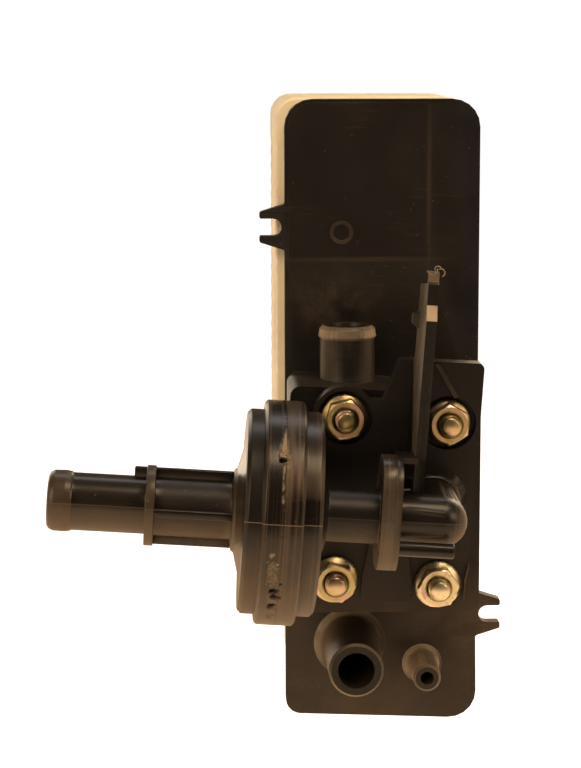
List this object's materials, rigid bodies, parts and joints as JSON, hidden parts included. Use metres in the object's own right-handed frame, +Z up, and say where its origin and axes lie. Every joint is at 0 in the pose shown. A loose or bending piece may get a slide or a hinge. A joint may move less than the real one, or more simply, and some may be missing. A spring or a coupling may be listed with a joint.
{
  "type": "hose-connected fill valve",
  "caption": "Upright hose-connected fill valve: black housing with a bolted inlet elbow, a round in-line check valve and hose spigots, and a float in a cream case behind.",
  "frame": {"origin": "middle of the rear case's flat back face", "axes": "+X right seen from the front, +Y to the rear out of the flat back, +Z up; the front faces -Y"},
  "size_m": [0.128, 0.1516, 0.1824],
  "materials": {
    "black_plastic": "satin moulded black",
    "gloss_black_plastic": "glossy moulded black",
    "cream_plastic": "aged ivory, satin",
    "black_rubber": "matt",
    "yellow_zinc": "yellow passivated zinc plating",
    "stainless_steel": "bright",
    "white_acetal": "satin",
    "float_plastic": "satin"
  },
  "bodies": {
    "housing": {"front_housing": "black_plastic", "rear_case": "cream_plastic", "case_seal": "black_rubber", "inlet_cover": "black_plastic", "cover_gasket": "black_rubber", "stud_1": "yellow_zinc", "stud_2": "yellow_zinc", "stud_3": "yellow_zinc", "stud_4": "yellow_zinc", "flange_nut_1": "yellow_zinc", "flange_nut_2": "yellow_zinc", "flange_nut_3": "yellow_zinc", "flange_nut_4": "yellow_zinc", "inlet_shell": "gloss_black_plastic", "outlet_shell": "gloss_black_plastic", "flange_o_ring": "black_rubber", "flange_screw_1": "stainless_steel", "flange_screw_2": "stainless_steel", "spring_guide": "white_acetal", "check_spring": "stainless_steel", "stem_o_ring": "black_rubber", "pivot_pin": "stainless_steel"},
    "float": {"float_arm": "white_acetal", "float_body": "float_plastic"},
    "stem": {"valve_stem": "white_acetal", "valve_washer": "black_rubber", "washer_screw": "stainless_steel", "cross_pin": "stainless_steel"},
    "poppet": {"check_poppet": "white_acetal", "poppet_seal": "black_rubber"}
  },
  "joints": [
    {"name": "float_hinge", "type": "hinge", "parent": "housing", "child": "float", "pos_m": [0.01123, -0.044, -0.02805], "axis": [1, 0, 0], "range_deg": [0, 20]},
    {"name": "stem_slide", "type": "slide", "parent": "housing", "child": "stem", "axis": [0, -1, 0], "range_m": [0, 0.00328]},
    {"name": "poppet_slide", "type": "slide", "parent": "housing", "child": "poppet", "axis": [0.9978, 0, -0.0663], "range_m": [0, 0.002], "stiffness_N_per_m": 150, "springref_m": -0.002, "deforming": ["check_spring"]}
  ],
  "couplings": [
    {"joint": "stem_slide", "follows": "float_hinge", "m_per_rad": 0.009384}
  ]
}
